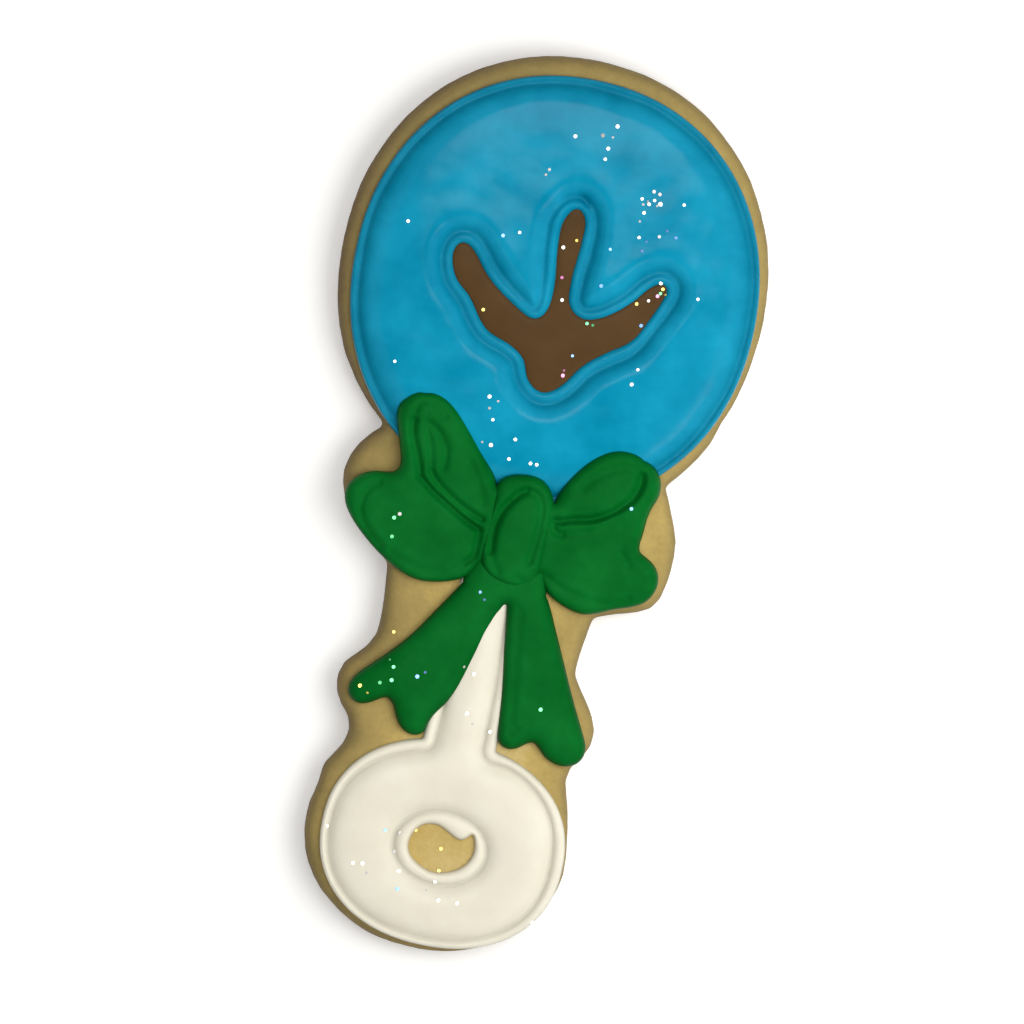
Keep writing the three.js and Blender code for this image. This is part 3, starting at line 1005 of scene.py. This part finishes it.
# %% Right loop
RIGHT_LINES = [
    ([(15.9, 6.9), (16.1, 6.2), (15.85, 4.9), (15.25, 3.65)], 0.8, 0.5),
    ([(15.25, 3.65), (13.45, 1.8), (11.15, 0.4), (8.35, -0.3), (7.2, -0.75), (6.3, -0.8)], 0.85, 0.38),
    ([(16.8, 6.2), (16.65, 4.7), (15.1, 2.15), (12.1, 0.05), (10, -0.8), (7.65, -1.2)], -0.16, 0.4),
    ([(6.25, -0.9), (6.3, -1.8), (6.9, -2.35), (7.6, -2.4)], 0.5, 0.38),
    ([(7.4, -2.4), (8.8, -2.2), (10.2, -1.7), (11.8, -1.05), (13.1, 0), (13.9, 1.2)], 0.16, 0.45),
    ([(9.1, 4.2), (10.1, 5.5), (11.4, 6.5), (12.7, 7.2), (14.1, 7.7), (15.2, 7.4)], 0.34, 0.6),
    (
        [(6.9, -8.1), (8.0, -8.7), (9.5, -9.35), (10.8, -9.6), (13, -9.9), (15.4, -9.6), (17.4, -8.7)],
        0.32,
        0.42,
    ),
    ([(15.4, -3.3), (16.5, -4.4)], 0.3, 0.5),
]
RIGHT_UNDER = [
    [(4.2, 1.4), (7.2, 1.4), (7.4, -7.6), (4.4, -8)],
    [(14.6, 7.2), (15.4, 9.0), (16.4, 9.0), (17.5, 8.0), (17.8, 6.8), (16.2, 5.8)],
]
right_loop = bow_part(
    "bow_loop_right",
    ["bow_right_inside", "bow_right_front"],
    wall=1.1,
    top=over_pool(2.4, 2.95),
    shoulder=1.7,
    lines=RIGHT_LINES,
    under=RIGHT_UNDER,
)

# %% [markdown]
# ### Tails
# The two ends of the ribbon hang down from the knot, and their icing runs together just below it. They are
# lower than the loops and as round as a piped stroke is, apart from a soft line along each of them.

# %% Tails
TAIL_LINES = [
    ([(4.2, -13), (4.7, -17), (5.3, -22), (6.0, -27)], 0.22, 0.55),
    ([(6.2, -28.4), (6.7, -27.9)], 0.3, 0.5),
    ([(0.4, -13.6), (-1.2, -17.5), (-2.5, -21.2), (-4.0, -25.2)], 0.16, 0.6),
]
TAILS_UNDER = [
    [(-3.8, -10.6), (-2.6, -7), (6.6, -7), (7.2, -10.4), (4.8, -11.9), (2.4, -12.1), (-2.4, -12.2)],
]
tails = bow_part(
    "bow_tails",
    ["bow_left_tail", "bow_right_tail"],
    wall=0.8,
    top=level(2.4),
    shoulder=2.7,
    lines=TAIL_LINES,
    under=TAILS_UNDER,
)

# %% [markdown]
# ### Knot
# The knot is piped last: a fat oval dab with a band round it where the ribbon wraps.

# %% Knot
KNOT_LINES = [
    (
        [(2.1, 2.2), (1.2, 1.6), (0.1, 0.2), (-0.65, -1.2), (-1.0, -2.9), (-1.05, -4.6), (-0.9, -6.3)],
        0.8,
        0.45,
    ),
    ([(-0.9, -6.3), (-0.35, -7.6), (0.4, -8.5)], 0.4, 0.5),
    ([(2.1, 2.2), (3.3, 2.0), (4.0, 1.3), (4.3, 0.6), (4.5, -1.05), (4.5, -3.1), (4.1, -6.6)], 0.5, 0.46),
    ([(2.9, -9.0), (4.1, -9.1), (5.0, -8.3)], 0.35, 0.5),
]
knot = bow_part(
    "bow_knot_piped",
    ["bow_knot"],
    wall=1.7,
    top=level(3.4),
    shoulder=1.6,
    lines=KNOT_LINES,
    gap=0.4,
)

# %% [markdown]
# ## Glitter
# Edible glitter is cut film: hexagonal flakes up to about half a millimetre across, silvery or tinted. It is
# pinched on while the icing is tacky, so it lies in loose clusters, mostly on the top of the head and along
# the bottom of the ring. A flake shows only when it mirrors a light to the eye, so those that glint lie
# square to the line halfway between the camera and the bright patch. A few more lie at other angles round
# them and stay dull.

# %% Glitter places
GLITTER = {
    "white": [
        (4.1, 49.9), (2.5, 48.4), (3.5, 46.9), (3.4, 45.5), (-0.9, 47.6), (-3.3, 42.8), (10.3, 42.7),
        (11.1, 42.5), (9, 41.5), (10.6, 41.6), (10, 41.0), (11.4, 41.3), (9.6, 39.8), (14.4, 41.8),
        (12.1, 37.2), (9.6, 36.6), (-5.4, 34.2), (-19.6, 32.8), (18.5, 30.4), (12.8, 20.1),
        (12.4, 18.1), (-17.7, 15), (-5, 13), (-4, 10.2), (-3.6, 7), (-0.7, 8.3), (-1, 5.7), (1.8, 5.7),
        (2.6, 5.7), (0.1, -22), (0.2, -27.1), (3.6, -28.8), (-14.4, -44.7), (-5.1, -43.7),
        (-5.3, -46.2), (-10.2, -48.6), (-9, -48.4), (-4.3, -48.5), (0.5, -48.9), (1.4, -51.1),
        (3.8, -51), (13.6, -51.5), (13.5, 31.5), (12.4, 29.0), (1.6, 26.9), (0.4, 33.5), (-13.2, -3.9),
    ],
    "blue": [
        (14.2, 37.5), (10.3, 35), (6.3, 34.4), (-7.4, 33.4), (6.1, 29.6), (-7, -43.7), (-4, -50.7),
        (12.1, 25.7), (15.5, 2.6), (-1.2, -11.6), (-6.9, -23.7), (4.3, 20.2),
    ],
    "yellow": [
        (13.9, 30.8), (-8, 23.7), (1.9, 34.7), (-13.8, -26.3), (-11, -18.8), (0.4, -44.7), (0.7, -47.5),
        (-3.2, -43), (11, 28.3),
    ],
    "green": [
        (13.7, 30.2), (5.3, 24.6), (-13.8, -4.5), (-13.6, -6.9), (-10.1, -23.1), (-10, -24.8),
        (-11.4, -25.4), (9.3, -24.7),
    ],
    "pink": [(13.4, 29.8), (1, 29.7), (3.6, 17.5)],
}
TINTS = {
    "white": (255, 255, 255),
    "blue": (135, 182, 255),
    "yellow": (255, 230, 125),
    "green": (125, 242, 165),
    "pink": (255, 160, 213),
}
iced = [biscuit, blue, brown, white, left_loop, right_loop, tails, knot]
print(sum(len(places) for places in GLITTER.values()), "glints on", len(iced), "pieces")

# %% [markdown]
# Each flake is dropped straight down onto whatever lies highest there, and turned to its own angle.

# %% Helpers for flakes
FLAKE_SIDES = 6
FLAKE_THICKNESS = 0.03 * MM
FLAKE_LIFT = 0.3
chance = random.Random(5)
shapes = bpy.context.evaluated_depsgraph_get()
skins = [BVHTree.FromObject(piece, shapes) for piece in iced]


def landing(x, y):
    """The highest point of the cookie at a place, or None beside the cookie."""
    hits = [skin.ray_cast(Vector((x, y, 2 * TOP)), -UP)[0] for skin in skins]
    return max((hit for hit in hits if hit), key=lambda hit: hit.z, default=None)


def drop_flake(bm, x, y, facing, reach):
    """Adds a hexagonal flake where it lands, turned by up to a radian, unless it misses the cookie."""
    turned = facing.to_track_quat("Z", "Y").to_matrix() @ Matrix.Rotation(chance.uniform(0, 1), 3, "Z")
    landed = landing(x, y)
    if landed is None:
        return
    spot = Matrix.Translation(landed + FLAKE_LIFT * reach * UP)
    bmesh.ops.create_cone(
        bm,
        cap_ends=True,
        segments=FLAKE_SIDES,
        radius1=reach,
        radius2=reach,
        depth=FLAKE_THICKNESS,
        matrix=spot @ turned.to_4x4(),
    )


def off_line(direction, spread):
    """A direction near the given one, by chance."""
    return (direction + spread * Vector([chance.gauss(0, 1) for _ in range(3)])).normalized()


def leaning(degrees):
    """A direction that leans away from straight up by an angle, to any side."""
    side = chance.uniform(0, 2 * math.pi)
    lean = math.radians(degrees)
    return Vector((math.sin(lean) * math.cos(side), math.sin(lean) * math.sin(side), math.cos(lean)))


# %% Glitter flakes
CATCHING = (UP + GLINT_SIDE).normalized()
CATCHING_SPREAD = 0.03
GLINTING_REACH = (0.2, 0.28)
ONE_DULL_TO = 3
DULL_REACH = (0.15, 0.2)
DULL_AWAY = (0.6, 1.6)
DULL_LEAN = (12, 22)

for tint, places in GLITTER.items():
    flake_bm = bmesh.new()
    for x, y in places:
        facing = off_line(CATCHING, CATCHING_SPREAD)
        drop_flake(flake_bm, x * MM, y * MM, facing, chance.uniform(*GLINTING_REACH) * MM)
    for x, y in chance.sample(places, len(places) // ONE_DULL_TO):
        angle = chance.uniform(0, 2 * math.pi)
        away = chance.uniform(*DULL_AWAY)
        near_x = (x + away * math.cos(angle)) * MM
        near_y = (y + away * math.sin(angle)) * MM
        facing = leaning(chance.uniform(*DULL_LEAN))
        drop_flake(flake_bm, near_x, near_y, facing, chance.uniform(*DULL_REACH) * MM)
    flakes = object_of("flakes_" + tint, flake_bm)
    flakes.data.shade_flat()
    film, film_shader = material("film_" + tint, roughness=0.12)
    film_shader.inputs["Metallic"].default_value = 1
    film_shader.inputs["Base Color"].default_value = colour(*TINTS[tint])
    flakes.data.materials.append(film)
    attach(flakes, "root")
    print(flakes.name, len(flakes.data.polygons) // (FLAKE_SIDES + 2), "flakes")
